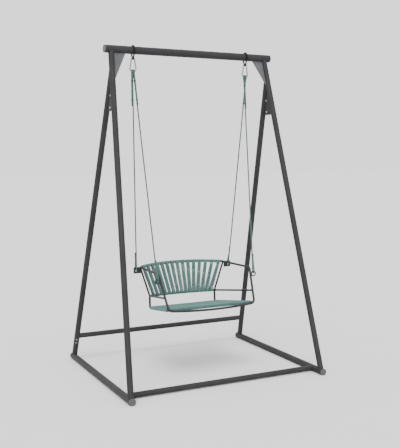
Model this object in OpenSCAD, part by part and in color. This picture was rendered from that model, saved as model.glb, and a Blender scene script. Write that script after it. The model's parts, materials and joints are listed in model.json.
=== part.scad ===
// Garden swing seat: a rope-woven seat hung by four ropes from an A-frame stand.
// +Z is up, +Y is behind the seat, and the origin is on the floor at the middle of the footprint.

/* [Stand] */
// Height of the top beam's axis
beam_z = 2125; // [2000:5:2250]
// Distance of the beam behind the middle of the footprint
beam_y = 32; // [0:2:60]
// Outer diameter of the top beam
beam_d = 50; // [46:1:54]
// Length of the top beam's tube
beam_len = 1214; // [1190:2:1260]
// Outer diameter of the legs
leg_d = 38; // [34:1:42]
// Half the distance between the two leg pairs at the floor
foot_x = 678; // [660:2:700]
// Half the distance between the two leg pairs at the beam
top_x = 565; // [550:1:575]
// Distance of the front feet from the middle of the footprint
front_foot_y = 549; // [520:1:560]
// Distance of the rear feet from the middle of the footprint
rear_foot_y = 545; // [520:1:560]

/* [Base] */
// Outer diameter of the tubes on the floor
base_d = 42; // [40:1:44]
// Length of the tubes on the floor
base_len = 1144; // [1130:2:1180]
// Outer diameter of the two cross bars
bar_d = 35; // [32:1:36]
// Distance of the front cross bar from the middle of the footprint
front_bar_y = 452; // [430:2:480]
// Height of the rear cross bar's axis
rear_bar_z = 179; // [165:1:190]

/* [Hangers] */
// Distance of each hanger from the middle of the beam
hanger_x = 416; // [410:1:422]
// Height of the snap hook's top bend, on which the seat swings
swing_z = 2079; // [2076:1:2081]
// Rod diameter of the rings and the snap hooks
hook_rod = 10; // [9.6:0.1:10]
// Diameter of the hanging ropes
rope_d = 9; // [8:0.5:9]

/* [Seat] */
// Diameter of the arm, front and back top tubes
tube_d = 15; // [14:0.5:16]
// Diameter of the lower rails and the back posts
rail_d = 13; // [12:0.5:14]
// Thickness of the woven cord
cord_d = 4; // [3.5:0.5:4.5]
// Number of flat cord bundles in the back
slat_count = 15; // [13:2:17]

/* [Hidden] */
$fn = 48;

wall = 2;
seat_wall = 1.5;
frame_color = [0.28, 0.28, 0.30];
plate_color = [0.36, 0.37, 0.38];
steel_color = [0.70, 0.71, 0.72];
black = [0.07, 0.07, 0.08];
rope_color = [0.50, 0.60, 0.57];
weave_color = [0.40, 0.55, 0.53];

// The rounded ends of the floor tubes are cut flat underneath: the stand rests on those four flats.
cap_r = base_d/2 + 1.5;
base_z = base_d/2 + 0.6;

// Each leg pair lies in a plane that leans inwards. In that plane u is front to back and w is up from base_z.
lean = atan((foot_x - top_x)/(beam_z - base_z));
beam_w = (beam_z - base_z)/cos(lean);
front_tilt = atan((beam_y + front_foot_y)/beam_w);
meet_y = -5;
rear_slope = (rear_foot_y - meet_y)/((meet_y + front_foot_y)/tan(front_tilt));
rear_tilt = atan(rear_slope);
meet_w = (meet_y + front_foot_y)/tan(front_tilt);

// Rear cross bar, on the rear legs' axes
bar_w = (rear_bar_z - base_z)/cos(lean);
rear_bar_y = rear_foot_y - bar_w*rear_slope;
rear_bar_x = foot_x - bar_w*sin(lean);

// Seat frame: corner points of the right-hand side, mirrored for the left
top_corner = [321, 168, 690];
arm_corner = [338, -179, 694];
foot_corner = [313, -289, 470];
low_corner = [252, 168, 486];
rear_corner = [252, 163, 404];
seat_front = [307, -279, 473];
top_vertex = [0, 376, 701];
low_vertex = [0, 198, 492];
front_vertex = [0, -306, 447];
elbow_r = 22;
arm_bend = 28;
foot_bend = 32;
rear_bend = 16;
elbow_run = 24;
foot_run = 36;
side_rail_z = 548;

// Rope lugs
lug_x = 356;
rear_lug_y = 156;
lug_t = 5;
lug_hole_d = 13.8;
lug_hole_z = 674;
eye_x = 354;
eye_y = -205;
eye_z = 652;
eye_r = 15.5;
eye_rod = 8.5;

// Routes of the right-hand ropes, from the upper tail over the snap hook, down to the seat and back up
rear_route = [
    [414.5, 56, 1770], [416.5, 52.5, 1810], [418.5, 48.5, 1850], [420, 45, 1890], [421.5, 42, 1930], [422, 40.5, 1955],
    [421.5, 41.5, 1975], [421, 43, 1989], [421, 40.3, 1997.2], [421, 36.4, 2000], [421, 32, 2000.8],
    [421, 27.6, 2000], [421, 23.7, 1997.2], [421, 21, 1989], [420.5, 25, 1975], [419.5, 30, 1955],
    [418.5, 33, 1930], [415, 40, 1850], [410, 49, 1750], [405, 58.5, 1650], [400, 68, 1550], [395, 77.5, 1450],
    [390, 87, 1350], [385, 96, 1250], [380, 105.5, 1150], [375, 115, 1050], [370, 124, 950], [365, 133.5, 850],
    [361, 140, 790], [359, 144, 745], [356.5, 147.5, 710], [356, 147.5, 690], [356, 148, 681], [356, 151, 676],
    [356, 156, 674.5], [356, 161, 676], [356, 164, 681], [356.5, 164.5, 690], [358.5, 162, 710], [362, 153, 745],
    [364.5, 149, 790]];
front_route = [
    [401.5, -11, 1775], [403, -4, 1810], [405, 2.5, 1850], [406.5, 9.5, 1890], [408, 16, 1930], [409, 20, 1950],
    [410.5, 21.5, 1970], [411, 21, 1989], [411, 23.7, 1997.2], [411, 27.6, 2000], [411, 32, 2000.8],
    [411, 36.4, 2000], [411, 40.3, 1997.2], [411, 43, 1989], [410, 37, 1970], [409, 31, 1950],
    [408, 26.5, 1930], [404.5, 12, 1850], [400.5, -6, 1750], [396, -23.5, 1650], [392, -41.5, 1550],
    [388, -59, 1450], [383.5, -77, 1350], [379.5, -95, 1250], [375, -113, 1150], [371, -130.5, 1050],
    [366.5, -148.5, 950], [362.5, -166, 850], [359, -178.5, 780], [357, -187, 730], [355, -193, 700],
    [354, -195, 680], [354, -195.5, 667], [354, -198.3, 660.6], [354, -205, 657.6], [354, -211.7, 660.6],
    [354, -214.5, 667], [354, -214, 680], [355, -207, 700], [357, -197, 730], [359, -188, 780]];
whip_h = 10;
whip_wall = 0.6;
whip_gap = 0.5;

function unit(v) = v/norm(v);
function turn(a, b) = acos(max(-1, min(1, unit(a)*unit(b))));
function trim(pts, bends, i) = bends[i - 1]*tan(turn(pts[i] - pts[i - 1], pts[i + 1] - pts[i])/2);
// Euler angles that turn the axes X, Y, Z onto the three unit vectors
function euler(x, y, z) = [atan2(y[2], z[2]), -asin(x[2]), atan2(x[1], x[0])];
// Arc from a to its mirror image, touching the lines from both to the vertex v: half its angle, radius and centre
function arc_half(a, v) = turn(v - a, flip(a) - v)/2;
function arc_radius(a, v) = norm(v - a)/tan(arc_half(a, v));
function arc_back(a, v) = unit(v - (a + flip(a))/2);
function arc_centre(a, v) = v - arc_back(a, v)*arc_radius(a, v)/cos(arc_half(a, v));
// Point at the given x on that arc
function arc_point(a, v, x) = let (p = asin(x/arc_radius(a, v)))
    arc_centre(a, v) + arc_back(a, v)*arc_radius(a, v)*cos(p) + [x, 0, 0];
// Facets that keep a turned mesh within 0.1 mm of its radius
function facets(radius) = max($fn, ceil(180/acos(1 - 0.1/radius)));
function flip(p) = [-p[0], p[1], p[2]];
function toward(a, b, d) = a + unit(b - a)*d;

module both() {
    children();
    mirror([1, 0, 0]) children();
}

module along(p, d) {
    translate(p) rotate([0, acos(d[2]/norm(d)), atan2(d[1], d[0])]) children();
}

module rod(a, b, r) {
    along(a, b - a) cylinder(r = r, h = norm(b - a));
}

module bend(p, a, b, r, bend_r) {
    t = bend_r*tan(turn(a, b)/2);
    s = unit(unit(b) - (unit(b)*unit(a))*unit(a));
    translate(p - unit(a)*t + s*bend_r)
        rotate(euler(-s, unit(a), cross(-s, unit(a))))
            rotate_extrude(angle = turn(a, b)) translate([bend_r, 0]) circle(r = r);
}

// Arc of round bar, shortened at both ends by the angle cut
module arc_rod(a, v, r, cut = 0) {
    half = arc_half(a, v);
    radius = arc_radius(a, v);
    back = arc_back(a, v);
    translate(arc_centre(a, v)) rotate([atan2(back[2], back[1]), 0, 0]) rotate([0, 0, 90 - half + cut])
        rotate_extrude(angle = 2*(half - cut), $fn = facets(radius)) translate([radius, 0]) circle(r = r, $fn = 48);
}

module arc_pipe(a, v, r, t = seat_wall) {
    difference() {
        arc_rod(a, v, r);
        arc_rod(a, v, r - t, -0.3);
    }
}

// A round bar along points, with one bend radius for each inner point. The straight runs are thinner than the
// bends by a hair and reach a little way into them, so that every join is a clean step.
step = 0.03;
lap = 0.4;
module bent_rod(pts, bends, r, extra = 0) {
    last = len(pts) - 1;
    for (i = [0:last - 1]) {
        d = unit(pts[i + 1] - pts[i]);
        from = i == 0 ? -extra : trim(pts, bends, i) - lap;
        upto = norm(pts[i + 1] - pts[i]) - (i == last - 1 ? -extra : trim(pts, bends, i + 1) - lap);
        rod(pts[i] + d*from, pts[i] + d*upto, r - step);
    }
    for (i = [1:last - 1])
        bend(pts[i], pts[i] - pts[i - 1], pts[i + 1] - pts[i], r, bends[i - 1]);
}

module pipe(a, b, r, t = wall) {
    difference() {
        rod(a, b, r);
        rod(toward(a, b, -1), toward(b, a, -1), r - t);
    }
}

module bent_pipe(pts, bends, r, t = seat_wall) {
    difference() {
        bent_rod(pts, bends, r);
        bent_rod(pts, bends, r - t, 1);
    }
}

module at_leg_plane() {
    translate([foot_x, 0, base_z]) rotate([0, -lean, 0]) children();
}

// ---- stand ----

module beam_solid() {
    translate([-beam_len/2, beam_y, beam_z]) rotate([0, 90, 0]) cylinder(d = beam_d, h = beam_len);
}

module top_beam() {
    color(frame_color) difference() {
        beam_solid();
        translate([-beam_len/2 - 1, beam_y, beam_z]) rotate([0, 90, 0]) cylinder(d = beam_d - 2*wall, h = beam_len + 2);
    }
}

// Plastic end cap with a rounded rim and a plug that fits a tube of outer diameter d
module end_cap(d, rim, plug) {
    rotate_extrude() {
        square([d/2 - 2, rim]);
        square([d/2, rim - 2]);
        translate([d/2 - 2, rim - 2]) circle(r = 2);
    }
    if (plug > 0) translate([0, 0, -plug]) cylinder(r = plug_r(d), h = plug);
}
function plug_r(d) = d/2 - wall - 0.1;

module beam_end_caps() {
    color(black) both() translate([beam_len/2, beam_y, beam_z]) rotate([0, 90, 0]) end_cap(beam_d, 5, 18);
}

module front_leg_solid(r = leg_d/2, below = 0) {
    translate([0, -front_foot_y, 0]) rotate([-front_tilt, 0, 0])
        translate([0, 0, -below]) cylinder(r = r, h = beam_w/cos(front_tilt) + below);
}

module rear_leg_solid(r = leg_d/2, below = 0) {
    translate([0, rear_foot_y, 0]) rotate([rear_tilt, 0, 0])
        translate([0, 0, -below]) cylinder(r = r, h = meet_w/cos(rear_tilt) + below);
}

module front_leg() {
    color(frame_color) difference() {
        at_leg_plane() front_leg_solid();
        at_leg_plane() front_leg_solid(leg_d/2 - wall, 2);
        beam_solid();
        base_solid();
        for (h = [0:1]) leg_screw_hole(h, -1);
    }
}

module rear_leg() {
    color(frame_color) difference() {
        at_leg_plane() rear_leg_solid();
        at_leg_plane() rear_leg_solid(leg_d/2 - wall, 2);
        at_leg_plane() front_leg_solid(leg_d/2 + 0.2);
        base_solid();
        for (h = [0:1]) leg_screw_hole(h, 1);
    }
}

module front_leg_left() { mirror([1, 0, 0]) front_leg(); }
module front_leg_right() { front_leg(); }
module rear_leg_left() { mirror([1, 0, 0]) rear_leg(); }
module rear_leg_right() { rear_leg(); }

// Triangular plates in the corner of beam and front leg
gusset_t = 5;
gusset_run = 76;
gusset_drop = 166;
gusset_tilt = atan((beam_y + front_foot_y)/(beam_z - base_z));
module gusset() {
    leg_in = foot_x - top_x;
    drop = beam_d/2 + gusset_drop;
    side_lean = atan(leg_in/norm([beam_y + front_foot_y, beam_z - base_z]));
    translate([top_x, beam_y, beam_z]) rotate([-gusset_tilt, 0, 0]) rotate([90, 0, 0])
        translate([0, 0, -gusset_t/2]) linear_extrude(gusset_t)
            polygon([[0, 0], [-leg_d/2 - gusset_run, 0], [-leg_d/2 - gusset_run, -beam_d/2],
                [-leg_d/2 + drop*tan(side_lean) - 3, -drop], [drop*tan(side_lean), -drop]]);
}

module corner_gussets() {
    color(plate_color) both() difference() {
        gusset();
        beam_solid();
        at_leg_plane() front_leg_solid();
    }
}

// Two overlapping plates, one on each leg, that bolt the leg pair together under its apex
plate_t = 4;
plate_low = 1735;
plate_high = 1945;
bolt_w = [1755, 1833];
bolt_y = -4;
bolt_d = 8;

function front_u(w) = -front_foot_y + w*tan(front_tilt);
function rear_u(w) = rear_foot_y - w*tan(rear_tilt);

module plate_blank(lo, hi) {
    rotate([90, 0, 90]) translate([0, 0, -plate_t/2]) linear_extrude(plate_t)
        polygon([[front_u(lo), lo], [rear_u(lo), lo], [rear_u(hi), hi], [front_u(hi), hi]]);
}

module bolt_holes(d) {
    for (w = bolt_w) translate([0, bolt_y, w - base_z]) rotate([0, 90, 0]) cylinder(d = d, h = 60, center = true);
}

module plate_pair_cut() {
    front_leg_solid();
    rear_leg_solid();
    bolt_holes(bolt_d + 0.6);
}

module leg_plate(side) {
    at_leg_plane() difference() {
        translate([side*plate_t/2, 0, 0]) plate_blank(plate_low - base_z, plate_high - base_z);
        plate_pair_cut();
        // each plate stops short of the leg that it isn't welded to
        translate([0, side*3, 0]) if (side > 0) front_leg_solid(); else rear_leg_solid();
    }
}

module front_leg_plates() { color(frame_color) both() leg_plate(-1); }
module rear_leg_plates() { color(frame_color) both() leg_plate(1); }

module dome(d, h) {
    r = (d*d/4 + h*h)/(2*h);
    intersection() {
        translate([0, 0, h - r]) sphere(r = r);
        cylinder(d = d, h = h);
    }
}

module plate_bolts() {
    color(steel_color) both() at_leg_plane() for (w = bolt_w) translate([0, bolt_y, w - base_z]) rotate([0, 90, 0]) {
        translate([0, 0, -16]) cylinder(d = bolt_d, h = 16 + plate_t);
        translate([0, 0, plate_t]) dome(17, 5.5);
    }
}

module plate_cap_nuts() {
    color(steel_color) both() at_leg_plane() for (w = bolt_w) translate([0, bolt_y, w - base_z]) rotate([0, -90, 0])
        translate([0, 0, plate_t]) difference() {
            union() {
                cylinder(d = 18, h = 1.6);
                translate([0, 0, 1.6]) cylinder(d = 15, h = 6.5, $fn = 6);
                translate([0, 0, 8.1]) dome(12.5, 5.5);
            }
            translate([0, 0, -1]) cylinder(d = bolt_d, h = 13);
        }
}

// Dome-headed screw with a hexagon socket, seen from its head
module socket_head(d, h, socket) {
    difference() {
        dome(d, h);
        translate([0, 0, h*0.4]) cylinder(d = socket, h = h, $fn = 6);
    }
}

// ---- base ----

module base_solid() {
    translate([foot_x, -base_len/2, base_z]) rotate([-90, 0, 0]) cylinder(d = base_d, h = base_len);
}

module base_tube() {
    color(frame_color) difference() {
        base_solid();
        translate([foot_x, -base_len/2 - 1, base_z]) rotate([-90, 0, 0]) cylinder(d = base_d - 2*wall, h = base_len + 2);
    }
}
module base_tube_left() { mirror([1, 0, 0]) base_tube(); }
module base_tube_right() { base_tube(); }

module foot_cap() {
    intersection() {
        translate([foot_x, base_len/2, base_z]) rotate([-90, 0, 0]) end_cap(2*cap_r, 6, 0);
        translate([foot_x - 50, 0, 0]) cube([100, base_len, 100]);
    }
    translate([foot_x, base_len/2 - 24, base_z]) rotate([-90, 0, 0]) cylinder(r = plug_r(base_d), h = 24.5);
}

module base_end_caps() {
    color(black) both() {
        foot_cap();
        mirror([0, 1, 0]) foot_cap();
    }
}

// Spigots welded on the floor tubes; the legs slide over them and two screws hold each
spigot_len = 150;
spigot_r = leg_d/2 - wall - 0.15;
screw_h = [118, 142];
screw_turn = 20;

module leg_spigot(front) {
    difference() {
        at_leg_plane() intersection() {
            if (front) front_leg_solid(spigot_r); else rear_leg_solid(spigot_r);
            translate([-100, -700, 0]) cube([200, 1400, spigot_len]);
        }
        at_leg_plane() if (front) front_leg_solid(spigot_r - 2.5, 2); else rear_leg_solid(spigot_r - 2.5, 2);
        base_solid();
        for (h = [0:1]) leg_screw_hole(h, front ? -1 : 1);
    }
}

module leg_spigots() {
    color(plate_color) both() {
        leg_spigot(true);
        leg_spigot(false);
    }
}

// Place a screw on the inner front face of a leg: end is -1 on front legs, 1 on rear legs
module at_leg_screw(h, end) {
    at_leg_plane() translate([0, end > 0 ? rear_foot_y : -front_foot_y, 0])
        rotate([end > 0 ? rear_tilt : -front_tilt, 0, 0])
            translate([0, 0, screw_h[h]]) rotate([0, 0, end > 0 ? screw_turn : 180 - screw_turn])
                translate([0, -leg_d/2, 0]) rotate([90, 0, 0]) children();
}

module leg_screw_hole(h, end) {
    at_leg_screw(h, end) translate([0, 0, -12]) cylinder(d = 6.4, h = 14);
}

module leg_screws() {
    color(steel_color) both() for (h = [0:1], end = [-1, 1]) at_leg_screw(h, end) {
        translate([0, 0, -9]) cylinder(d = 6, h = 9.4);
        translate([0, 0, 0.4]) socket_head(11, 3.2, 4.6);
    }
}

module front_bar_solid(r, x) {
    rod([-x, -front_bar_y, base_z], [x, -front_bar_y, base_z], r);
}

module rear_bar_solid(r, x) {
    rod([-x, rear_bar_y, rear_bar_z], [x, rear_bar_y, rear_bar_z], r);
}

// Spigots welded to the floor tubes and rear legs; each cross bar slides over them, with two screws at each end
bar_spigot_len = 165;
bar_spigot_r = bar_d/2 - wall - 0.15;
bar_screw_in = [112, 137];

module bar_screw_at(bar, i) {
    x = (bar == 0 ? foot_x : rear_bar_x) - bar_screw_in[i];
    translate([x, bar == 0 ? -front_bar_y : rear_bar_y, (bar == 0 ? base_z : rear_bar_z) - bar_d/2])
        rotate([180, 0, 0]) children();
}

module bar_holes() {
    both() for (bar = [0:1], i = [0:1]) bar_screw_at(bar, i) translate([0, 0, -6]) cylinder(d = 5.4, h = 8);
}

module front_bar() {
    color(frame_color) difference() {
        front_bar_solid(bar_d/2, foot_x);
        front_bar_solid(bar_d/2 - wall, foot_x + 1);
        both() base_solid();
        bar_holes();
    }
}

module rear_bar() {
    color(frame_color) difference() {
        rear_bar_solid(bar_d/2, rear_bar_x);
        rear_bar_solid(bar_d/2 - wall, rear_bar_x + 1);
        both() at_leg_plane() rear_leg_solid();
        bar_holes();
    }
}

module bar_spigots() {
    color(plate_color) difference() {
        union() {
            front_bar_solid(bar_spigot_r, foot_x);
            rear_bar_solid(bar_spigot_r, rear_bar_x);
        }
        front_bar_solid(bar_spigot_r - 2.5, foot_x + 1);
        rear_bar_solid(bar_spigot_r - 2.5, rear_bar_x + 1);
        both() base_solid();
        both() at_leg_plane() rear_leg_solid();
        rod([-foot_x + bar_spigot_len, -front_bar_y, base_z], [foot_x - bar_spigot_len, -front_bar_y, base_z], bar_d);
        rod([-rear_bar_x + bar_spigot_len, rear_bar_y, rear_bar_z],
            [rear_bar_x - bar_spigot_len, rear_bar_y, rear_bar_z], bar_d);
        bar_holes();
    }
}

module bar_screws() {
    color(steel_color) both() for (bar = [0:1], i = [0:1]) bar_screw_at(bar, i) {
        translate([0, 0, -5]) cylinder(d = 5, h = 5.4);
        translate([0, 0, 0.3]) socket_head(9, 2.2, 3.5);
    }
}

// ---- hangers ----

// Closed loop of round bar round two circles in the local XY plane, the second one further along -Y
module pear_loop(r_big, r_small, gap, rod_r) {
    slant = asin((r_big - r_small)/gap);
    rotate([0, 0, -slant]) rotate_extrude(angle = 180 + 2*slant) translate([r_big, 0]) circle(r = rod_r);
    translate([0, -gap, 0]) rotate([0, 0, 180 + slant])
        rotate_extrude(angle = 180 - 2*slant) translate([r_small, 0]) circle(r = rod_r);
    for (s = [-1, 1]) {
        from = [s*r_big*cos(slant), -r_big*sin(slant), 0];
        upto = [s*r_small*cos(slant), -gap - r_small*sin(slant), 0];
        rod(toward(from, upto, -lap), toward(upto, from, -lap), rod_r - step);
    }
}

ring_r = beam_d/2 + hook_rod/2;
ring_low_r = hook_rod + 0.1;
module hanger_ring() {
    color(black) translate([hanger_x, beam_y, beam_z]) rotate([90, 0, 90])
        pear_loop(ring_r, ring_low_r, beam_z - swing_z, hook_rod/2);
}
module hanger_ring_left() { mirror([1, 0, 0]) hanger_ring(); }
module hanger_ring_right() { hanger_ring(); }

// Snap hook: narrow bend at the top on the ring, wide bend at the bottom for the ropes, gate on the outer side
hook_len = 100;
hook_top_r = hook_rod/2 + 5.6;
hook_low_r = 20;
hook_gap = hook_len - hook_rod - hook_top_r - hook_low_r;
hook_slant = asin((hook_low_r - hook_top_r)/hook_gap);
rope_bar_z = swing_z - hook_len + hook_rod;
gate_from = 6;
gate_len = 46;
tongue = 12;
pin_d = 3;
pin_play = 0.06;

module at_hook() {
    translate([hanger_x, beam_y, swing_z - hook_top_r - hook_gap]) children();
}

// Along the gate: origin at the lower end of the straight outer side, +Z up towards the nose, +X outwards
module at_gate() {
    at_hook() translate([hook_low_r*cos(hook_slant), 0, hook_low_r*sin(hook_slant)])
        rotate([0, -hook_slant, 0]) children();
}

module hook_loop() {
    slant = hook_slant;
    rotate([90, 0, 0]) {
        rotate([0, 0, 180 - slant]) rotate_extrude(angle = 180 + 2*slant) translate([hook_low_r, 0]) circle(d = hook_rod);
        translate([0, hook_gap, 0]) rotate([0, 0, slant])
            rotate_extrude(angle = 180 - 2*slant) translate([hook_top_r, 0]) circle(d = hook_rod);
    }
    for (s = [-1, 1]) {
        from = [s*hook_low_r*cos(slant), 0, hook_low_r*sin(slant)];
        upto = [s*hook_top_r*cos(slant), 0, hook_gap + hook_top_r*sin(slant)];
        rod(toward(from, upto, -lap), toward(upto, from, -lap), hook_rod/2 - step);
    }
}

module snap_hook() {
    color(steel_color) difference() {
        at_hook() hook_loop();
        // opening that the gate closes
        at_gate() difference() {
            translate([-8, -8, gate_from]) cube([16, 16, gate_len]);
            translate([-5, -2, gate_from - 1]) cube([10, 4, tongue]);
        }
        at_gate() translate([0, 0, gate_from + tongue/2]) rotate([90, 0, 0]) cylinder(d = pin_d + 2*pin_play, h = 20, center = true);
    }
}
module snap_hook_left() { mirror([1, 0, 0]) snap_hook(); }
module snap_hook_right() { snap_hook(); }

module hook_gate() {
    color(steel_color) at_gate() difference() {
        translate([0, 0, gate_from + 0.4]) cylinder(d = hook_rod - 0.6, h = gate_len - 1.2);
        // slot for the hook's tongue, open on both sides so that the gate can turn inwards
        translate([-8, -2.3, gate_from - 1]) cube([16, 4.6, tongue + 3]);
        translate([0, 0, gate_from + tongue/2]) rotate([90, 0, 0]) cylinder(d = pin_d + 2*pin_play, h = 20, center = true);
        translate([0, 0, gate_from + tongue + 1]) cylinder(d = 4, h = 20);
        // lower end rounded about the pin
        difference() {
            translate([-8, -8, gate_from - 1]) cube([16, 16, tongue/2 + 1]);
            translate([0, 0, gate_from + tongue/2]) rotate([90, 0, 0]) cylinder(r = tongue/2 - 0.6, h = 20, center = true);
        }
    }
}
module hook_gate_left() { mirror([1, 0, 0]) hook_gate(); }
module hook_gate_right() { hook_gate(); }

module gate_pin() {
    color(steel_color) at_gate() translate([0, 0, gate_from + tongue/2]) rotate([90, 0, 0])
        cylinder(d = pin_d, h = hook_rod - 1.2, center = true);
}
module gate_pin_left() { mirror([1, 0, 0]) gate_pin(); }
module gate_pin_right() { gate_pin(); }

module gate_spring() {
    color(steel_color) at_gate() translate([0, 0, gate_from + tongue + 2.4]) cylinder(d = 3.6, h = 18.4);
}
module gate_spring_left() { mirror([1, 0, 0]) gate_spring(); }
module gate_spring_right() { gate_spring(); }

// ---- ropes ----

// Round tube along a route: rings square to the mean direction at each point
module rope(pts, d, sides = 10) {
    n = len(pts);
    function dir(i) = unit(pts[min(i + 1, n - 1)] - pts[max(i - 1, 0)]);
    side = [1, 0, 0];
    rings = [for (i = [0:n - 1]) let (t = dir(i), u = unit(cross(t, side)), v = cross(t, u))
        for (k = [0:sides - 1]) pts[i] + (u*cos(360*k/sides) + v*sin(360*k/sides))*d/2];
    walls = [for (i = [0:n - 2], k = [0:sides - 1])
        let (a = i*sides + k, b = i*sides + (k + 1)%sides) [a, b, b + sides, a + sides]];
    first = [for (k = [sides - 1:-1:0]) k];
    end = [for (k = [0:sides - 1]) (n - 1)*sides + k];
    polyhedron(points = rings, faces = concat([first], walls, [end]), convexity = 4);
}

module rear_rope() { color(rope_color) rope(rear_route, rope_d); }
module front_rope() { color(rope_color) rope(front_route, rope_d); }
module rear_rope_left() { mirror([1, 0, 0]) rear_rope(); }
module rear_rope_right() { rear_rope(); }
module front_rope_left() { mirror([1, 0, 0]) front_rope(); }
module front_rope_right() { front_rope(); }

module stadium(r, off) {
    for (s = [-1, 1]) translate([s*off, 0]) circle(r = r);
    square([2*off, 2*r], center = true);
}

// Sewn band round the two strands of a doubled rope end, along d: a is on the tail, b on the standing part
module band(a, b, d) {
    z = unit(d);
    across = b - a - ((b - a)*z)*z;
    x = unit(across);
    r = rope_d/2 + whip_gap;
    off = norm(across)/2;
    translate(a + across/2) rotate(euler(x, cross(z, x), z)) translate([0, 0, -whip_h/2]) linear_extrude(whip_h)
        difference() {
            stadium(r + whip_wall, off);
            stadium(r, off);
        }
}

// The standing part of a route between its points i and i + 1, at height z
function strand_at(route, i, z) =
    route[i] + (route[i + 1] - route[i])*(z - route[i][2])/(route[i + 1][2] - route[i][2]);

// Two bands below the hook and one above the seat, each round a tail point and the standing part beside it
module rope_bands(route) {
    for (w = [[1, 17], [4, 16], [len(route) - 1, 28]]) {
        tail = route[w[0]];
        band(tail, strand_at(route, w[1], tail[2]), route[w[1]] - route[w[1] + 1]);
    }
}

module rope_whippings() {
    color(weave_color) {
        rope_bands(rear_route);
        rope_bands(front_route);
    }
}
module rope_whippings_left() { mirror([1, 0, 0]) rope_whippings(); }
module rope_whippings_right() { rope_whippings(); }

// ---- seat frame ----

rt = tube_d/2;
rr = rail_d/2;
top_end = toward(top_corner, top_vertex, elbow_run);
foot_end = toward(foot_corner, front_vertex, foot_run);
arm_points = [top_end, top_corner, arm_corner, foot_corner, foot_end];
arm_bends = [elbow_r, arm_bend, foot_bend];
upright_t = (arm_corner[2] - side_rail_z)/(arm_corner[2] - foot_corner[2]);
upright_join = arm_corner + (foot_corner - arm_corner)*upright_t;

module back_top_rail() {
    color(frame_color) arc_pipe(top_end, top_vertex, rt);
}

module arm_solid() { bent_rod(arm_points, arm_bends, rt); }
module arm_tube() { color(frame_color) bent_pipe(arm_points, arm_bends, rt); }
module arm_tube_left() { mirror([1, 0, 0]) arm_tube(); }
module arm_tube_right() { arm_tube(); }

module front_rail() { color(frame_color) arc_pipe(foot_end, front_vertex, rt); }

side_points = [low_corner, rear_corner, toward(seat_front, rear_corner, -4)];
module side_tube_solid() { bent_rod(side_points, [rear_bend], rt); }
module seat_side_tube() {
    color(frame_color) difference() {
        bent_pipe(side_points, [rear_bend], rt);
        arm_solid();
        arc_rod(foot_end, front_vertex, rt);
    }
}
module seat_side_tube_left() { mirror([1, 0, 0]) seat_side_tube(); }
module seat_side_tube_right() { seat_side_tube(); }

post_top = toward(top_corner, low_corner, 4);
module post_solid() { rod(post_top, low_corner, rr); }
module back_post() {
    color(frame_color) difference() {
        pipe(post_top, low_corner, rr, seat_wall);
        arm_solid();
        side_tube_solid();
    }
}
module back_post_left() { mirror([1, 0, 0]) back_post(); }
module back_post_right() { back_post(); }

module back_lower_rail() {
    color(frame_color) difference() {
        arc_pipe(low_corner, low_vertex, rr);
        both() {
            post_solid();
            side_tube_solid();
        }
    }
}

module side_rail() {
    color(frame_color) difference() {
        pipe(low_corner, upright_join, rr, seat_wall);
        arm_solid();
        post_solid();
        side_tube_solid();
        arc_rod(low_corner, low_vertex, rr);
    }
}
module side_rail_left() { mirror([1, 0, 0]) side_rail(); }
module side_rail_right() { side_rail(); }

// Bars across the seat between the two side tubes
rear_bar_in = 20;
front_bar_in = 20;
seat_rear_point = toward(rear_corner, seat_front, rear_bar_in);
seat_front_point = toward(seat_front, rear_corner, front_bar_in);

module seat_bar(p) {
    color(frame_color) difference() {
        pipe(flip(p), p, rr, seat_wall);
        both() side_tube_solid();
    }
}
module seat_rear_bar() { seat_bar(seat_rear_point); }
module seat_front_bar() { seat_bar(seat_front_point); }

// Plates for the rear ropes, welded to the outside of the arms
module rear_lugs() {
    color(frame_color) both() difference() {
        translate([0, rear_lug_y + lug_t/2, 0]) rotate([90, 0, 0]) linear_extrude(lug_t) difference() {
            union() {
                translate([top_corner[0], 652]) square([47, 43]);
                translate([top_corner[0], 658]) square([53, 31]);
                translate([368, 658]) circle(r = 6);
                translate([368, 689]) circle(r = 6);
            }
            translate([lug_x, lug_hole_z]) circle(d = lug_hole_d);
        }
        arm_solid();
        post_solid();
    }
}

// Eyes for the front ropes, welded to the outside of the uprights
module front_eyes() {
    color(frame_color) both() difference() {
        translate([eye_x, eye_y, eye_z]) rotate([90, 0, 0])
            rotate_extrude() translate([eye_r, 0]) circle(d = eye_rod);
        arm_solid();
    }
}

// ---- woven cord ----

module rail_sleeve(a, v, r, cut) {
    difference() {
        arc_rod(a, v, r + cord_d, cut);
        arc_rod(a, v, r + 0.1, cut - 0.3);
    }
}

module top_rail_wrap() { color(weave_color) rail_sleeve(top_end, top_vertex, rt, 0.4); }
module lower_rail_wrap() { color(weave_color) rail_sleeve(low_corner, low_vertex, rr, 0.6); }

slat_w = 22;
slat_top_x = 316;
slat_low_x = 238;
module back_slats() {
    color(weave_color) for (i = [0:slat_count - 1]) {
        s = (2*i + 1)/slat_count - 1;
        top = arc_point(top_end, top_vertex, s*slat_top_x);
        low = arc_point(low_corner, low_vertex, s*slat_low_x);
        d = unit(low - top);
        from = top + d*(rt + cord_d + 2);
        len = norm(low - top) - rt - rr - 2*cord_d - 4;
        x = unit(cross([0, 1, 0], d));
        translate(from) rotate(euler(x, cross(d, x), d)) rotate([0, 0, -s*24])
            translate([-slat_w/2, -cord_d/2, 0]) cube([slat_w, cord_d, len]);
    }
}

seat_tilt = atan((seat_front[2] - rear_corner[2])/(rear_corner[1] - seat_front[1]));
module seat_weave() {
    depth = norm([seat_front_point[1] - seat_rear_point[1], seat_front_point[2] - seat_rear_point[2]]);
    color(weave_color) translate([0, seat_rear_point[1], seat_rear_point[2]]) rotate([-seat_tilt, 0, 0])
        translate([0, 0, rt + 0.1]) linear_extrude(cord_d)
            polygon([[-seat_rear_point[0] - rt, rr], [seat_rear_point[0] + rt, rr],
                [seat_front_point[0] + rt, -depth - rr], [-seat_front_point[0] - rt, -depth - rr]]);
}

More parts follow.
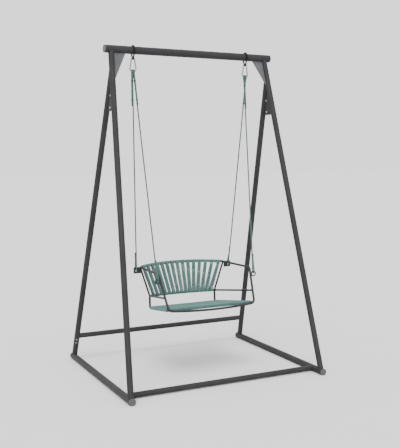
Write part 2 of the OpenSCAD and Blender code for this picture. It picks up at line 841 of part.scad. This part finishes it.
top_beam();
beam_end_caps();
front_leg_left();
front_leg_right();
rear_leg_left();
rear_leg_right();
corner_gussets();
front_leg_plates();
rear_leg_plates();
plate_bolts();
plate_cap_nuts();
base_tube_left();
base_tube_right();
base_end_caps();
leg_spigots();
leg_screws();
front_bar();
rear_bar();
bar_spigots();
bar_screws();
hanger_ring_left();
hanger_ring_right();
snap_hook_left();
snap_hook_right();
hook_gate_left();
hook_gate_right();
gate_pin_left();
gate_pin_right();
gate_spring_left();
gate_spring_right();
rear_rope_left();
rear_rope_right();
front_rope_left();
front_rope_right();
rope_whippings_left();
rope_whippings_right();
back_top_rail();
back_lower_rail();
back_post_left();
back_post_right();
arm_tube_left();
arm_tube_right();
front_rail();
side_rail_left();
side_rail_right();
seat_side_tube_left();
seat_side_tube_right();
seat_rear_bar();
seat_front_bar();
rear_lugs();
front_eyes();
top_rail_wrap();
lower_rail_wrap();
back_slats();
seat_weave();
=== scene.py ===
import json
import math
import bpy
import numpy as np
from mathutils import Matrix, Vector


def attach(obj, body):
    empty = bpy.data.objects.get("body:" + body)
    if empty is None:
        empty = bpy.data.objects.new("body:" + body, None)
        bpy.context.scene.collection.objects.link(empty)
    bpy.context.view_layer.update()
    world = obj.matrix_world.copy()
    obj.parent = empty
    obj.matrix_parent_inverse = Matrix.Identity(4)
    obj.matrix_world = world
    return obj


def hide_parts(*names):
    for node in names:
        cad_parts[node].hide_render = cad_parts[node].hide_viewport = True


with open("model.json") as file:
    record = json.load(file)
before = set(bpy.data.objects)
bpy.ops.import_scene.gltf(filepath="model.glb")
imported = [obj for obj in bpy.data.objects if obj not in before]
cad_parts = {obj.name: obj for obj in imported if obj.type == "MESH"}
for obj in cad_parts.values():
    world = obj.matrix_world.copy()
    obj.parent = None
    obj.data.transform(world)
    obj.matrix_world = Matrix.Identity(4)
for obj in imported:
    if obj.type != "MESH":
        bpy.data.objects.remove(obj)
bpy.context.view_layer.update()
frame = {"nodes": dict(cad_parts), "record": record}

MM = 0.001
rng = np.random.default_rng(7)


# ---------------------------------------------------------------- camera

def look(location, yaw, pitch, lens):
    """Camera that looks along +Y, turned by yaw to the right and by pitch upwards, in degrees."""
    cam = bpy.data.objects.new("camera", bpy.data.cameras.new("camera"))
    bpy.context.scene.collection.objects.link(cam)
    cam.data.lens = lens
    cam.data.sensor_width = 36.0
    cam.data.clip_end = 60.0
    cam.location = location
    cam.rotation_euler = (math.radians(90 + pitch), 0.0, math.radians(-yaw))
    bpy.context.scene.camera = cam


look(location=(-2.256, -4.582, 1.482), yaw=26.73, pitch=-5.49, lens=60.94)


# ---------------------------------------------------------------- vectors and meshes

def vec(*p):
    return np.array(p, dtype=float)


def unit(v):
    return v / np.linalg.norm(v, axis=-1, keepdims=True)


def flip(p):
    """Mirror image on the left-hand side."""
    return p * vec(-1, 1, 1)


def keep(p):
    """The right-hand side stays as it is."""
    return p


SIDES = (("left", flip), ("right", keep))


def toward(a, b, d):
    """Point at distance d from a on the way to b."""
    return a + unit(b - a) * d


def frames(paths, hint, closed=False):
    """Two unit vectors square to each path, carried along it without twist.

    paths holds (count, points, 3) numbers.
    """
    if closed:
        t = np.roll(paths, -1, axis=1) - np.roll(paths, 1, axis=1)
    else:
        t = np.empty_like(paths)
        t[:, 1:-1] = paths[:, 2:] - paths[:, :-2]
        t[:, 0] = paths[:, 1] - paths[:, 0]
        t[:, -1] = paths[:, -1] - paths[:, -2]
    t = unit(t)
    u = np.empty_like(paths)
    h = np.broadcast_to(np.asarray(hint, float), t[:, 0].shape)
    for i in range(paths.shape[1]):
        h = h - (h * t[:, i]).sum(-1, keepdims=True) * t[:, i]
        h = unit(h)
        u[:, i] = h
    return u, np.cross(t, u)


def sweep(paths, radius, sides, hint=(0, 0, 1), closed=False, relief=None):
    """Vertices, side faces and end faces of round tubes along the paths.

    relief(angle, point) may add to the radius.
    """
    paths = np.asarray(paths, float)
    if paths.ndim == 2:
        paths = paths[None]
    count, n, _ = paths.shape
    u, v = frames(paths, hint, closed)
    a = np.linspace(0, 2 * math.pi, sides, endpoint=False)
    r = np.broadcast_to(np.asarray(radius, float), (count, n))[:, :, None] + np.zeros(sides)
    if relief is not None:
        r = r + relief(a[None, None, :], np.arange(n)[None, :, None])
    verts = paths[:, :, None, :] + (u[:, :, None, :] * np.cos(a)[None, None, :, None]
                                    + v[:, :, None, :] * np.sin(a)[None, None, :, None]) * r[..., None]
    rows = n if closed else n - 1
    i, k = np.meshgrid(np.arange(rows), np.arange(sides), indexing="ij")
    j, m = (i + 1) % n, (k + 1) % sides
    quad = np.stack([i * sides + k, i * sides + m, j * sides + m, j * sides + k], -1).reshape(-1, 4)
    faces = (quad[None] + (np.arange(count) * n * sides)[:, None, None]).reshape(-1, 4)
    caps = []
    if not closed:
        ring = np.arange(sides)
        for c in range(count):
            base = c * n * sides
            caps.append((base + ring[::-1]).tolist())
            caps.append((base + (n - 1) * sides + ring).tolist())
    return verts.reshape(-1, 3), faces, caps


def add_mesh(name, parts, material, body, replaces):
    """One piece from several (vertices, side faces, end faces), in place of a CAD node."""
    verts, loops, starts, totals, at = [], [], [], [], 0
    used = 0
    for v, quads, caps in parts:
        verts.append(v)
        q = (np.asarray(quads) + at).reshape(-1)
        loops.append(q)
        starts.append(used + np.arange(len(quads)) * 4)
        totals.append(np.full(len(quads), 4))
        used += len(q)
        for c in caps:
            loops.append(np.asarray(c) + at)
            starts.append(np.array([used]))
            totals.append(np.array([len(c)]))
            used += len(c)
        at += len(v)
    verts = np.concatenate(verts)
    loops = np.concatenate(loops)
    starts = np.concatenate(starts)
    totals = np.concatenate(totals)
    mesh = bpy.data.meshes.new(name)
    mesh.vertices.add(len(verts))
    mesh.vertices.foreach_set("co", verts.astype(np.float32).ravel())
    mesh.loops.add(len(loops))
    mesh.loops.foreach_set("vertex_index", loops.astype(np.int32))
    mesh.polygons.add(len(starts))
    mesh.polygons.foreach_set("loop_start", starts.astype(np.int32))
    mesh.polygons.foreach_set("loop_total", totals.astype(np.int32))
    mesh.polygons.foreach_set("use_smooth", (totals == 4))
    mesh.update(calc_edges=True)
    mesh.validate()
    obj = bpy.data.objects.new(name, mesh)
    bpy.context.scene.collection.objects.link(obj)
    obj.data.materials.append(material)
    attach(obj, body)
    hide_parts(replaces)
    return obj


# ---------------------------------------------------------------- materials

def new_material(name, color, rough, metallic=0.0, specular=0.5):
    mat = bpy.data.materials.new(name)
    mat.use_nodes = True
    bsdf = mat.node_tree.nodes["Principled BSDF"]
    bsdf.inputs["Base Color"].default_value = (*color, 1)
    bsdf.inputs["Roughness"].default_value = rough
    bsdf.inputs["Metallic"].default_value = metallic
    bsdf.inputs["Specular IOR Level"].default_value = specular
    return mat, mat.node_tree, bsdf


def node(tree, kind, **inputs):
    n = tree.nodes.new(kind)
    for key, value in inputs.items():
        n.inputs[key.replace("_", " ")].default_value = value
    return n


def noise(tree, scale, detail=3.0, rough=0.5):
    coord = tree.nodes.new("ShaderNodeTexCoord")
    n = node(tree, "ShaderNodeTexNoise", Scale=scale, Detail=detail, Roughness=rough)
    tree.links.new(coord.outputs["Object"], n.inputs["Vector"])
    return n


def ramp(tree, source, stops):
    r = tree.nodes.new("ShaderNodeValToRGB")
    e = r.color_ramp.elements
    while len(e) < len(stops):
        e.new(0.5)
    for k, (pos, color) in enumerate(stops):
        e[k].position = pos
        e[k].color = (*color, 1)
    tree.links.new(source, r.inputs["Fac"])
    return r.outputs["Color"]


def shades(color, dark, light):
    """The same colour at two strengths."""
    return [c * dark for c in color], [min(1, c * light) for c in color]


def grey(value):
    return (value, value, value)


def bump(tree, bsdf, height, strength, distance):
    b = node(tree, "ShaderNodeBump", Strength=strength, Distance=distance)
    tree.links.new(height, b.inputs["Height"])
    tree.links.new(b.outputs["Normal"], bsdf.inputs["Normal"])


def powder_coat(name, color, rough):
    """Baked powder paint: fine orange peel, slight cloudiness and dust in the sheen."""
    mat, tree, bsdf = new_material(name, color, rough, specular=0.12)
    cloud = noise(tree, 9.0, 4.0)
    lo, hi = shades(color, 0.88, 1.14)
    coat = ramp(tree, cloud.outputs["Fac"], [(0.3, lo), (0.7, hi)])
    tree.links.new(coat, bsdf.inputs["Base Color"])
    grain = noise(tree, 60.0, 5.0, 0.6)
    gloss = ramp(tree, grain.outputs["Fac"], [(0.3, grey(rough - 0.05)), (0.7, grey(rough + 0.08))])
    tree.links.new(gloss, bsdf.inputs["Roughness"])
    peel = noise(tree, 900.0, 2.0)
    bump(tree, bsdf, peel.outputs["Fac"], 0.18, 0.0004)
    return mat


def zinc(name, color, rough):
    """Zinc-plated steel with a fine brushed, slightly mottled surface."""
    mat, tree, bsdf = new_material(name, color, rough, metallic=1.0)
    mottle = noise(tree, 180.0, 4.0, 0.6)
    lo, hi = shades(color, 0.80, 1.15)
    metal = ramp(tree, mottle.outputs["Fac"], [(0.3, lo), (0.7, hi)])
    tree.links.new(metal, bsdf.inputs["Base Color"])
    gloss = ramp(tree, mottle.outputs["Fac"], [(0.25, grey(rough - 0.08)), (0.75, grey(rough + 0.12))])
    tree.links.new(gloss, bsdf.inputs["Roughness"])
    fine = noise(tree, 1600.0, 2.0)
    bump(tree, bsdf, fine.outputs["Fac"], 0.10, 0.0003)
    return mat


def moulded(name, color):
    """Moulded plastic: even colour with a fine spark-eroded grain."""
    mat, tree, bsdf = new_material(name, color, 0.5)
    grain = noise(tree, 1400.0, 3.0)
    lo, hi = shades(color, 0.85, 1.2)
    plastic = ramp(tree, grain.outputs["Fac"], [(0.35, lo), (0.65, hi)])
    tree.links.new(plastic, bsdf.inputs["Base Color"])
    bump(tree, bsdf, grain.outputs["Fac"], 0.25, 0.0003)
    return mat


def braid(name, dark, light, scale):
    """Braided polyester: fine yarns with painted shade in the gaps between them, small shifts of shade along
    the cord and a soft sheen.
    """
    mat, tree, bsdf = new_material(name, light, 0.72, specular=0.3)
    bsdf.inputs["Sheen Weight"].default_value = 0.08
    bsdf.inputs["Sheen Roughness"].default_value = 0.5
    tone = noise(tree, 14.0, 4.0, 0.6)
    coord = tree.nodes.new("ShaderNodeTexCoord")
    yarn = node(tree, "ShaderNodeTexVoronoi", Scale=scale)
    tree.links.new(coord.outputs["Object"], yarn.inputs["Vector"])
    body = ramp(tree, tone.outputs["Fac"], [(0.25, dark), (0.75, light)])
    # painted shade: the colour is darkened to 0.62 times towards the edges of each yarn cell, in the gaps
    # between yarns
    shade = ramp(tree, yarn.outputs["Distance"], [(0.0, (1, 1, 1)), (0.9, (0.62, 0.64, 0.64))])
    mix = tree.nodes.new("ShaderNodeMix")
    mix.data_type = "RGBA"
    mix.blend_type = "MULTIPLY"
    mix.inputs["Factor"].default_value = 1.0
    tree.links.new(body, mix.inputs["A"])
    tree.links.new(shade, mix.inputs["B"])
    tree.links.new(mix.outputs["Result"], bsdf.inputs["Base Color"])
    bump(tree, bsdf, yarn.outputs["Distance"], 0.5, 0.0006)
    return mat


FRAME = powder_coat("anthracite_coat", (0.025, 0.0245, 0.0262), 0.50)
# painted light: the corner gussets get a copy of the anthracite frame paint about three times lighter,
# standing in for the light their flat faces catch
PAINTED_LIGHT_PLATE = powder_coat("anthracite_plate_painted_light", (0.078, 0.081, 0.084), 0.50)
BLACK = powder_coat("black_coat", (0.006, 0.006, 0.007), 0.38)
ZINC = zinc("zinc_steel", (0.26, 0.265, 0.275), 0.34)
STEEL = zinc("plain_steel", (0.30, 0.30, 0.31), 0.45)
CAP = moulded("cap_plastic", (0.050, 0.050, 0.052))
ROPE = braid("rope_braid", (0.042, 0.088, 0.079), (0.074, 0.128, 0.117), 900.0)
CORD = braid("weave_braid", (0.061, 0.152, 0.138), (0.102, 0.223, 0.208), 1500.0)
# painted shade: the back's upright bundles are the same cord as the seat weave and the rail windings, in a
# copy about a sixth darker
SHADED_SLAT_CORD = braid("slat_braid_painted_shade", (0.052, 0.126, 0.114), (0.090, 0.184, 0.172), 1500.0)
THREAD = braid("thread", (0.030, 0.065, 0.058), (0.055, 0.100, 0.090), 2500.0)

SLOT_MATERIAL = {"frame_paint": FRAME, "hanger_black": BLACK, "zinc_steel": ZINC, "inner_steel": STEEL,
                 "black_plastic": CAP, "rope": ROPE, "woven_cord": CORD}
slot_of = {s["node"]: s["material_slot"] for s in frame["record"]["subparts"]}
for name, obj in frame["nodes"].items():
    obj.data.materials.clear()
    # the corner gussets take the lighter copy of the frame paint: painted light
    obj.data.materials.append(PAINTED_LIGHT_PLATE if name == "corner_gussets" else SLOT_MATERIAL[slot_of[name]])


# ---------------------------------------------------------------- hanging ropes

ROPE_R = 4.5
# Routes of the right-hand ropes, in mm: upper tail, over the snap hook, down, through the lug or eye,
# and up to the end of the lower tail
REAR = [(414.5, 56, 1770), (416.5, 52.5, 1810), (418.5, 48.5, 1850), (420, 45, 1890), (421.5, 42, 1930),
        (422, 40.5, 1955), (421.5, 41.5, 1975), (421, 43, 1989), (421, 40.3, 1997.2), (421, 36.4, 2000),
        (421, 32, 2000.8), (421, 27.6, 2000), (421, 23.7, 1997.2), (421, 21, 1989), (420.5, 25, 1975),
        (419.5, 30, 1955), (418.5, 33, 1930), (415, 40, 1850), (410, 49, 1750), (405, 58.5, 1650),
        (400, 68, 1550), (395, 77.5, 1450), (390, 87, 1350), (385, 96, 1250), (380, 105.5, 1150),
        (375, 115, 1050), (370, 124, 950), (365, 133.5, 850), (361, 140, 790), (359, 144, 745),
        (356.5, 147.5, 710), (356, 147.5, 690), (356, 148, 681), (356, 151, 676), (356, 156, 674.5),
        (356, 161, 676), (356, 164, 681), (356.5, 164.5, 690), (358.5, 162, 710), (362, 153, 745),
        (364.5, 149, 790)]
FRONT = [(401.5, -11, 1775), (403, -4, 1810), (405, 2.5, 1850), (406.5, 9.5, 1890), (408, 16, 1930),
         (409, 20, 1950), (410.5, 21.5, 1970), (411, 21, 1989), (411, 23.7, 1997.2), (411, 27.6, 2000),
         (411, 32, 2000.8), (411, 36.4, 2000), (411, 40.3, 1997.2), (411, 43, 1989), (410, 37, 1970),
         (409, 31, 1950), (408, 26.5, 1930), (404.5, 12, 1850), (400.5, -6, 1750), (396, -23.5, 1650),
         (392, -41.5, 1550), (388, -59, 1450), (383.5, -77, 1350), (379.5, -95, 1250), (375, -113, 1150),
         (371, -130.5, 1050), (366.5, -148.5, 950), (362.5, -166, 850), (359, -178.5, 780),
         (357, -187, 730), (355, -193, 700), (354, -195, 680), (354, -195.5, 667), (354, -198.3, 660.6),
         (354, -205, 657.6), (354, -211.7, 660.6), (354, -214.5, 667), (354, -214, 680), (355, -207, 700),
         (357, -197, 730), (359, -188, 780)]
# Pairs of route points that a band of thread ties together: one on a tail, one on the standing part beside it
UPPER_TIES = ((1, 17), (4, 16))
LOWER_TIE = (40, 28)


def smooth(points, step):
    """Centripetal Catmull-Rom curve through the points, resampled about every step, and its length."""
    p = np.array(points, float)
    ext = np.vstack([2 * p[0] - p[1], p, 2 * p[-1] - p[-2]])
    out = []
    for i in range(len(p) - 1):
        a, b, c, d = ext[i:i + 4]
        t0, t1 = 0.0, np.linalg.norm(b - a) ** 0.5
        t2 = t1 + np.linalg.norm(c - b) ** 0.5
        t3 = t2 + np.linalg.norm(d - c) ** 0.5
        t = np.linspace(t1, t2, 12, endpoint=False)[:, None]
        a1 = (t1 - t) / (t1 - t0) * a + (t - t0) / (t1 - t0) * b
        a2 = (t2 - t) / (t2 - t1) * b + (t - t1) / (t2 - t1) * c
        a3 = (t3 - t) / (t3 - t2) * c + (t - t2) / (t3 - t2) * d
        b1 = (t2 - t) / (t2 - t0) * a1 + (t - t0) / (t2 - t0) * a2
        b2 = (t3 - t) / (t3 - t1) * a2 + (t - t1) / (t3 - t1) * a3
        out.append((t2 - t) / (t2 - t1) * b1 + (t - t1) / (t2 - t1) * b2)
    out = np.vstack(out + [p[-1:]])
    s = np.concatenate([[0], np.cumsum(np.linalg.norm(np.diff(out, axis=0), axis=1))])
    want = np.linspace(0, s[-1], int(round(s[-1] / step)) + 1)
    return np.stack([np.interp(want, s, out[:, k]) for k in range(3)], -1), s[-1]


def braid_relief(pitch, step, strands, height):
    """Raised diamonds of a round braid: two opposite sets of strands that pass over each other in turn."""
    def relief(a, i):
        turn = i * step / pitch * 2 * math.pi
        one = np.cos(strands / 2 * (a + turn / strands * 2))
        two = np.cos(strands / 2 * (a - turn / strands * 2))
        return height * (np.maximum(one, two) - 0.75)
    return relief


STEP = 1.5
# Radii at the melted, slightly swollen cut ends
CUT_END = (3.6, 4.5)
RELIEF = braid_relief(pitch=7.0, step=STEP, strands=8, height=0.22)
for side, mirror in SIDES:
    for which, route in (("rear", REAR), ("front", FRONT)):
        line, length = smooth(route, STEP)
        line = mirror(line) * MM
        r = np.full(len(line), ROPE_R - 0.12)
        r[:2] = CUT_END
        r[-2:] = CUT_END[::-1]
        part = sweep(line, r * MM, 20, hint=(1, 0, 0), relief=lambda a, i: RELIEF(a, i) * MM)
        name = f"{which}_rope_{side}"
        rope = add_mesh(f"{name}_braided", [part], ROPE, f"ropes_{side}", name)


def stadium_winding(a, across, along, turns, radius, pitch):
    """Thread wound round two strands that lie side by side, the first one through a."""
    per_turn = 28
    x, z = unit(across), unit(along)
    y = np.cross(z, x)
    off = np.linalg.norm(across) / 2
    flat = 2 * off
    perimeter = 2 * flat + 2 * math.pi * radius
    pts = []
    for k in range(turns * per_turn + 1):
        s = (k / per_turn % 1) * perimeter
        if s < flat:
            p = x * (s - off) - y * radius
        elif s < flat + math.pi * radius:
            t = (s - flat) / radius
            p = x * (off + radius * math.sin(t)) - y * radius * math.cos(t)
        elif s < 2 * flat + math.pi * radius:
            p = x * (off - (s - flat - math.pi * radius)) + y * radius
        else:
            t = (s - 2 * flat - math.pi * radius) / radius
            p = -x * (off + radius * math.sin(t)) + y * radius * math.cos(t)
        pts.append(a + across / 2 + p + z * (k / per_turn - turns / 2) * pitch)
    return np.array(pts)


THREAD_R, THREAD_PITCH, THREAD_TURNS = 0.40, 0.72, 14
for side, mirror in SIDES:
    parts = []
    for route in (REAR, FRONT):
        for tail, at in (*UPPER_TIES, LOWER_TIE):
            a, b, c = vec(*route[tail]), vec(*route[at]), vec(*route[at + 1])
            along = unit(b - c)
            across = (b - a) - ((b - a) @ along) * along
            path = stadium_winding(a, across, along, THREAD_TURNS, ROPE_R + 0.3, THREAD_PITCH)
            parts.append(sweep(mirror(path) * MM, THREAD_R * MM, 6))
    add_mesh(f"rope_stitching_{side}", parts, THREAD, f"ropes_{side}",
             f"rope_whippings_{side}")


# ---------------------------------------------------------------- back rest

# Radii of the seat's thick and thin tubes and of the cord, and corners of the seat frame as in the CAD model
TUBE, RAIL, CORD_R = 7.5, 6.5, 2.0
top_corner, low_corner, rear_corner = vec(321, 168, 690), vec(252, 168, 486), vec(252, 163, 404)
seat_front = vec(307, -279, 473)
top_vertex, low_vertex = vec(0, 376, 701), vec(0, 198, 492)
top_end = toward(top_corner, top_vertex, 24)


class Arc:
    """Arc from a to its mirror image that touches the lines to the vertex v."""
    def __init__(self, a, v):
        e1, e2 = unit(v - a), unit(flip(a) - v)
        self.half = math.acos(float(e1 @ e2)) / 2
        self.radius = np.linalg.norm(v - a) / math.tan(self.half)
        self.back = unit(v - (a + flip(a)) / 2)
        self.centre = v - self.back * self.radius / math.cos(self.half)

    def at(self, x):
        """Point and tangent at the given x."""
        x = np.asarray(x, float)
        p = np.arcsin(x / self.radius)[..., None]
        right = vec(1, 0, 0)
        point = self.centre + self.back * self.radius * np.cos(p) + right * self.radius * np.sin(p)
        return point, right * np.cos(p) - self.back * np.sin(p)


top_arc, low_arc = Arc(top_end, top_vertex), Arc(low_corner, low_vertex)
# Bundles of the back, cords in each and their spacing, and how far the bundles reach along the two rails
SLATS, PER_SLAT, PITCH = 15, 5, 4.6
TOP_X, LOW_X = 316.0, 238.0
# Points on a cord's turn round a rail and on each span between the rails
TURN_POINTS, SPAN_POINTS = 13, 7
# Room between cord and rail, sideways shift behind the top and the lower rail, and unevenness by hand
CLEAR = 0.1
TOP_ASKEW, MID_ASKEW, LOW_ASKEW = 10, 1.5, 4.5
UNEVEN, TIGHT = 0.16, 0.2


def ease(x):
    """Smooth step from 0 to 1."""
    x = np.clip(x, 0, 1)
    return x * x * (3 - 2 * x)


def loop_round_rails(s, k):
    """Closed path of one back cord: over the top rail, down the back, under the lower rail and up the front.

    s is the bundle's place from -1 on the left to 1 on the right, and k the cord's number in the bundle.
    The cords are wound a little askew: behind the rails they lie nearer to the middle than in front, most
    of all at the left-hand end of the top rail.
    """
    off = (k - (PER_SLAT - 1) / 2) * PITCH
    top_shift = TOP_ASKEW * (1 - s) ** 2 / 4 + MID_ASKEW * (1 - s ** 2)
    low_shift = LOW_ASKEW - 2 * LOW_ASKEW * ease((s + 0.15) / 0.7)

    def top(f):
        point, tangent = top_arc.at(s * TOP_X + f * top_shift)
        return point + tangent * off, tangent

    def low(f):
        point, tangent = low_arc.at(s * LOW_X + f * low_shift)
        return point + tangent * off, tangent

    def wrap(rail, f, down, radius, turn):
        point, tangent = rail(f)
        out = unit(np.cross(down, tangent))
        return point + radius * (math.cos(turn) * out - math.sin(turn) * down)

    down = unit(low(0.5)[0] - top(0.5)[0])
    rt, rl = TUBE + CORD_R + CLEAR, RAIL + CORD_R + CLEAR
    turns = np.linspace(0, 1, TURN_POINTS)
    over = [wrap(top, f, down, rt, math.pi * f) for f in turns]
    below = [wrap(low, 1 - f, down, rl, math.pi * (1 + f)) for f in turns]
    spans = np.linspace(0, 1, SPAN_POINTS + 2)[1:-1]
    behind = [over[-1] + (below[0] - over[-1]) * f for f in spans]
    before = [below[-1] + (over[0] - below[-1]) * f for f in spans]
    pts = np.array(over + behind + below + before)
    # less uneven where the cord is tight round a rail
    wobble = rng.normal(0, UNEVEN, pts.shape)
    second_turn = TURN_POINTS + SPAN_POINTS
    wobble[:TURN_POINTS] *= TIGHT
    wobble[second_turn - 1:second_turn + TURN_POINTS] *= TIGHT
    return pts + wobble


loops = []
for i in range(SLATS):
    s = (2 * i + 1) / SLATS - 1
    for k in range(PER_SLAT):
        loops.append(loop_round_rails(s, k))
part = sweep(np.array(loops) * MM, CORD_R * MM, 10, hint=(1, 0, 0), closed=True)
# the back's cords take the darker copy of the cord: painted shade
add_mesh("back_cords", [part], SHADED_SLAT_CORD, "seat", "back_slats")


def rail_winding(arc, x0, x1, tube_r, pitch):
    """Cord wound round a rail between two places along it."""
    per_turn = 18
    turns = max(1, int(round((x1 - x0) / pitch)))
    k = np.arange(turns * per_turn + 1)
    x = x0 + (x1 - x0) * k / k[-1]
    p, t = arc.at(x)
    side = unit(np.cross(t, vec(0, 0, 1)))
    up = np.cross(side, t)
    a = (k / per_turn * 2 * math.pi)[:, None]
    r = tube_r + CORD_R + CLEAR
    return p + r * (np.cos(a) * up + np.sin(a) * side)


def gaps(reach, end):
    """Places between the bundles, from one end of the rail to the other."""
    half = PER_SLAT * PITCH / 2
    mids = [((2 * i + 1) / SLATS - 1) * reach for i in range(SLATS)]
    edges = [-end] + [v for m in mids for v in (m - half, m + half)] + [end]
    return [(edges[j] + CORD_R * 0.9, edges[j + 1] - CORD_R * 0.9) for j in range(0, len(edges), 2)]


# Spacing of the windings, the shortest stretch that gets one, and where they end on the lower rail
RAIL_PITCH, SHORTEST, LOW_END = 4.3, 3.0, 243.0
WINDINGS = (("top_rail_winding", top_arc, TOP_X, top_end[0] - 3, TUBE, "top_rail_wrap"),
            ("lower_rail_winding", low_arc, LOW_X, LOW_END, RAIL, "lower_rail_wrap"))
for name, arc, reach, end, radius, replaced in WINDINGS:
    parts = []
    for a, b in gaps(reach, end):
        if b - a > SHORTEST:
            parts.append(sweep(rail_winding(arc, a, b, radius, RAIL_PITCH) * MM, CORD_R * MM, 8))
    add_mesh(name, parts, CORD, "seat", replaced)


# ---------------------------------------------------------------- woven seat

# Distance of the bars from the corners of the side tubes
BAR_INSET = 20
rear_mid = toward(rear_corner, seat_front, BAR_INSET) * vec(0, 1, 1)
front_mid = toward(seat_front, rear_corner, BAR_INSET) * vec(0, 1, 1)
rear_half = toward(rear_corner, seat_front, BAR_INSET)[0]
front_half = toward(seat_front, rear_corner, BAR_INSET)[0]
right = vec(1, 0, 0)
ahead = unit(front_mid - rear_mid)
normal = np.cross(right, ahead)
normal = normal if normal[2] > 0 else -normal
depth = np.linalg.norm(front_mid - rear_mid)
# Radii of the cords' turns round the side tubes and the bars
SIDE_R, BAR_R = TUBE + 2.15, RAIL + 2.15
# Height of the panel above the tubes' plane, how far each cord rises and dips in the weave, and the sag
LIFT, WEAVE, SAG = 9.3, 1.25, 5.0
# Cords from rear to front and from side to side, and the radius of each
ACROSS, ALONG, WEAVE_CORD_R = 108, 76, 1.95
# Share of the seat that the weave fills: where it starts at the rear, its depth and its width
REAR_EDGE, DEPTH_SHARE, WIDTH_SHARE = 0.030, 0.940, 0.962
# How far a cord's end is tucked in and down beneath the panel, at the bars and at the side tubes
BAR_TUCK, SIDE_TUCK = (15.0, 1.5), (16.0, 2.0)
# Angles between which a cord follows a tube, from the level of the panel's edge, in degrees
TURN_FROM, TURN_TO = -130, 75


def sag(u, v):
    """Height of the panel above the tubes' plane: u across from -1 to 1, v from rear 0 to front 1."""
    return LIFT - SAG * (1 - u ** 2) * np.sin(math.pi * v) ** 0.8


def panel(u, v, lift):
    half = rear_half + (front_half - rear_half) * v
    return (rear_mid + ahead * (v * depth)[..., None] + right * (u * half)[..., None]
            + normal * (sag(u, v) + lift)[..., None])


def turn_round(base, out, radius, tuck_in, tuck_down):
    """Turn of each cord round a tube, from beneath the panel, round the outside, to the top."""
    a = np.radians(np.linspace(TURN_FROM, TURN_TO, 11))
    ring = base[:, None, :] + radius * (np.cos(a)[None, :, None] * out + np.sin(a)[None, :, None] * normal)
    tuck = base - out * tuck_in - normal * tuck_down
    return np.concatenate([tuck[:, None, :], ring], axis=1)


rows = (np.arange(ALONG) + 0.5) / ALONG
rows = REAR_EDGE + rows * DEPTH_SHARE
cols = ((np.arange(ACROSS) + 0.5) / ACROSS * 2 - 1) * WIDTH_SHARE
sign_c = np.where(np.arange(ACROSS) % 2, 1.0, -1.0)
sign_r = np.where(np.arange(ALONG) % 2, 1.0, -1.0)

# cords from rear to front, turned under the rear and front bars
u, v = np.meshgrid(cols, rows, indexing="ij")
run = panel(u, v, WEAVE * sign_c[:, None] * sign_r[None, :])
rear_turn = turn_round(rear_mid + right * (cols * rear_half)[:, None], -ahead, BAR_R, *BAR_TUCK)
front_turn = turn_round(front_mid + right * (cols * front_half)[:, None], ahead, BAR_R, *BAR_TUCK)
warp = np.concatenate([rear_turn, run, front_turn[:, ::-1]], axis=1)

# cords from side to side, turned under the side tubes
v, u = np.meshgrid(rows, cols, indexing="ij")
run = panel(u, v, -WEAVE * sign_r[:, None] * sign_c[None, :])
half = rear_half + (front_half - rear_half) * rows
edge = rear_mid + ahead * (rows * depth)[:, None]
left_turn = turn_round(edge - right * half[:, None], -right, SIDE_R, *SIDE_TUCK)
right_turn = turn_round(edge + right * half[:, None], right, SIDE_R, *SIDE_TUCK)
weft = np.concatenate([left_turn, run, right_turn[:, ::-1]], axis=1)

WEAVE_UNEVEN = 0.10
warp = warp + rng.normal(0, WEAVE_UNEVEN, warp.shape)
weft = weft + rng.normal(0, WEAVE_UNEVEN, weft.shape)
parts = [sweep(warp * MM, WEAVE_CORD_R * MM, 6, hint=(1, 0, 0)),
         sweep(weft * MM, WEAVE_CORD_R * MM, 6, hint=(0, 1, 0))]
add_mesh("seat_cords", parts, CORD, "seat", "seat_weave")


# ---------------------------------------------------------------- floor and light

def floor_material():
    mat, tree, bsdf = new_material("floor", grey(0.66), 0.8, specular=0.0)
    patches = noise(tree, 2.0, 2.0)
    pale = ramp(tree, patches.outputs["Fac"], [(0.2, grey(0.655)), (0.8, grey(0.665))])
    tree.links.new(pale, bsdf.inputs["Base Color"])
    return mat


def floor(reach):
    mesh = bpy.data.meshes.new("floor")
    corners = [(-reach, -reach, 0), (reach, -reach, 0), (reach, reach, 0), (-reach, reach, 0)]
    mesh.from_pydata(corners, [], [(0, 1, 2, 3)])
    obj = bpy.data.objects.new("floor", mesh)
    bpy.context.scene.collection.objects.link(obj)
    obj.data.materials.append(floor_material())


def sun(name, direction, strength, angle):
    """Far soft light that shines along the direction."""
    light = bpy.data.lights.new(name, "SUN")
    light.energy = strength
    light.angle = math.radians(angle)
    obj = bpy.data.objects.new(name, light)
    bpy.context.scene.collection.objects.link(obj)
    obj.rotation_euler = Vector(direction).to_track_quat("-Z", "Y").to_euler()


def studio(strength):
    """Even white light from all round."""
    world = bpy.data.worlds.new("studio")
    bpy.context.scene.world = world
    world.use_nodes = True
    background = world.node_tree.nodes["Background"]
    background.inputs["Color"].default_value = (1, 1, 1, 1)
    background.inputs["Strength"].default_value = strength


floor(reach=40)
studio(strength=1.6)
sun("key", direction=(0.30, 0.45, -1.0), strength=3.0, angle=30)
sun("fill", direction=(0.45, 0.90, -0.03), strength=1.8, angle=40)
